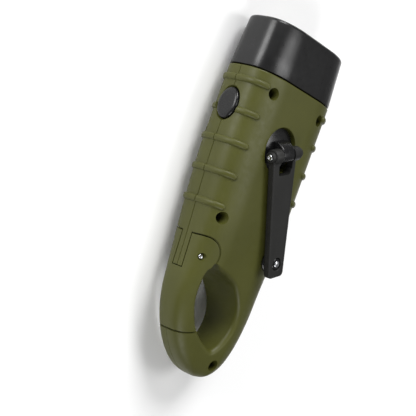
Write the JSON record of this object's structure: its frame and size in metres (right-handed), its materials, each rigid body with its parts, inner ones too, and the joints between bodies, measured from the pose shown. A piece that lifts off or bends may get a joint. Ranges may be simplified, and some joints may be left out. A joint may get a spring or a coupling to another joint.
{
  "type": "hand crank flashlight",
  "caption": "Pocket flashlight in a ribbed olive body with a black lamp head, a folding crank that drives a generator through gears, a side push button and a sprung carabiner tail.",
  "frame": {"origin": "centre of the flat back face's bounding box: the point under the middle of the object as it lies on its back", "axes": "+Y along the body from the carabiner tail to the lamp, +Z out of the face that carries the crank, -X towards the button and the gate"},
  "size_m": [0.0514, 0.135, 0.0296],
  "materials": {
    "body_plastic": "satin olive moulded plastic",
    "bezel_plastic": "black moulded plastic, half gloss",
    "black_plastic": "black moulded plastic, satin",
    "crank_plastic": "black moulded plastic, fine matt",
    "dark_plastic": "dark moulded plastic",
    "lens_clear": "clear moulded plastic",
    "reflector_mirror": "vacuum-metallised plastic",
    "emitter": "clear epoxy over a pale phosphor",
    "circuit_board": "green solder mask",
    "bright_steel": "plated steel",
    "dark_steel": "blackened steel",
    "copper_wire": "enamelled copper wire",
    "brass_part": "turned brass",
    "magnet": "sintered ferrite",
    "gear_plastic": "natural acetal",
    "cell_sleeve": "blue shrink sleeve over a metal can",
    "wire_sleeve": "soft insulated wire"
  },
  "bodies": {
    "housing": {"crank_side_shell": "body_plastic", "back_shell": "body_plastic", "head_bezel": "bezel_plastic", "front_lens": "lens_clear", "reflector": "reflector_mirror", "led_board": "circuit_board", "led_1": "emitter", "led_2": "emitter", "led_3": "emitter", "main_board": "circuit_board", "control_chip": "dark_plastic", "bridge_rectifier": "dark_plastic", "smoothing_capacitor": "bright_steel", "switch_body": "dark_plastic", "battery_cell_1": "cell_sleeve", "battery_cell_2": "cell_sleeve", "battery_cell_3": "cell_sleeve", "battery_tab_1": "bright_steel", "battery_tab_2": "bright_steel", "generator_case": "bright_steel", "generator_coil": "copper_wire", "generator_cover": "brass_part", "gear_plate": "dark_plastic", "idler_axle_1": "bright_steel", "idler_axle_2": "bright_steel", "hub_bush": "brass_part", "gate_pin": "bright_steel", "gate_spring": "bright_steel", "shell_screw_1": "dark_steel", "shell_screw_2": "dark_steel", "shell_screw_3": "dark_steel", "shell_screw_4": "dark_steel", "shell_screw_5": "dark_steel", "plate_screw_1": "bright_steel", "plate_screw_2": "bright_steel", "plate_screw_3": "bright_steel", "plate_screw_4": "bright_steel", "led_wire_1": "wire_sleeve", "led_wire_2": "wire_sleeve", "generator_wire_1": "wire_sleeve", "generator_wire_2": "wire_sleeve", "battery_wire_1": "wire_sleeve", "battery_wire_2": "wire_sleeve"},
    "crank": {"crank_hub": "black_plastic", "crank_gear": "gear_plastic", "hub_screw": "bright_steel", "hinge_pin": "bright_steel"},
    "arm": {"crank_arm": "crank_plastic"},
    "knob": {"crank_knob": "black_plastic", "knob_rivet": "bright_steel"},
    "first_idler": {"idler_gear_1": "gear_plastic"},
    "second_idler": {"idler_gear_2": "gear_plastic"},
    "rotor": {"rotor_magnet": "magnet", "rotor_shaft": "bright_steel", "rotor_pinion": "brass_part"},
    "button": {"button_cap": "black_plastic", "switch_plunger": "dark_plastic"},
    "gate": {"carabiner_gate": "body_plastic"}
  },
  "joints": [
    {"name": "crank_spin", "type": "hinge", "parent": "housing", "child": "crank", "pos_m": [-0.0016, 0.0237, 0.022], "axis": [0, 0, 1], "continuous": true},
    {"name": "crank_fold", "type": "hinge", "parent": "crank", "child": "arm", "pos_m": [-0.00111, 0.02261, 0.0263], "axis": [-0.9121, -0.4099, 0], "range_deg": [0, 180]},
    {"name": "knob_spin", "type": "hinge", "parent": "arm", "child": "knob", "pos_m": [0.01536, -0.01648, 0.0252], "axis": [0, 0, 1], "continuous": true},
    {"name": "idler_1_spin", "type": "hinge", "parent": "housing", "child": "first_idler", "pos_m": [-0.00861, 0.0092, 0.0166], "axis": [0, 0, 1], "continuous": true},
    {"name": "idler_2_spin", "type": "hinge", "parent": "housing", "child": "second_idler", "pos_m": [0.00461, 0.00276, 0.0134], "axis": [0, 0, 1], "continuous": true},
    {"name": "rotor_spin", "type": "hinge", "parent": "housing", "child": "rotor", "pos_m": [0.0005, -0.00989, 0.0066], "axis": [0, 0, 1], "continuous": true},
    {"name": "button_press", "type": "slide", "parent": "housing", "child": "button", "axis": [1, 0, 0], "range_m": [0, 0.0012], "stiffness_N_per_m": 600},
    {"name": "gate_swing", "type": "hinge", "parent": "housing", "child": "gate", "pos_m": [-0.0178, -0.0233, 0.012], "axis": [0, 0, 1], "range_deg": [0, 22], "stiffness_Nm_per_rad": 0.05, "springref_deg": -17.19}
  ],
  "couplings": [
    {"joint": "idler_1_spin", "follows": "crank_spin", "ratio": -3.6},
    {"joint": "idler_2_spin", "follows": "crank_spin", "ratio": 11.52},
    {"joint": "rotor_spin", "follows": "crank_spin", "ratio": -32.256}
  ]
}
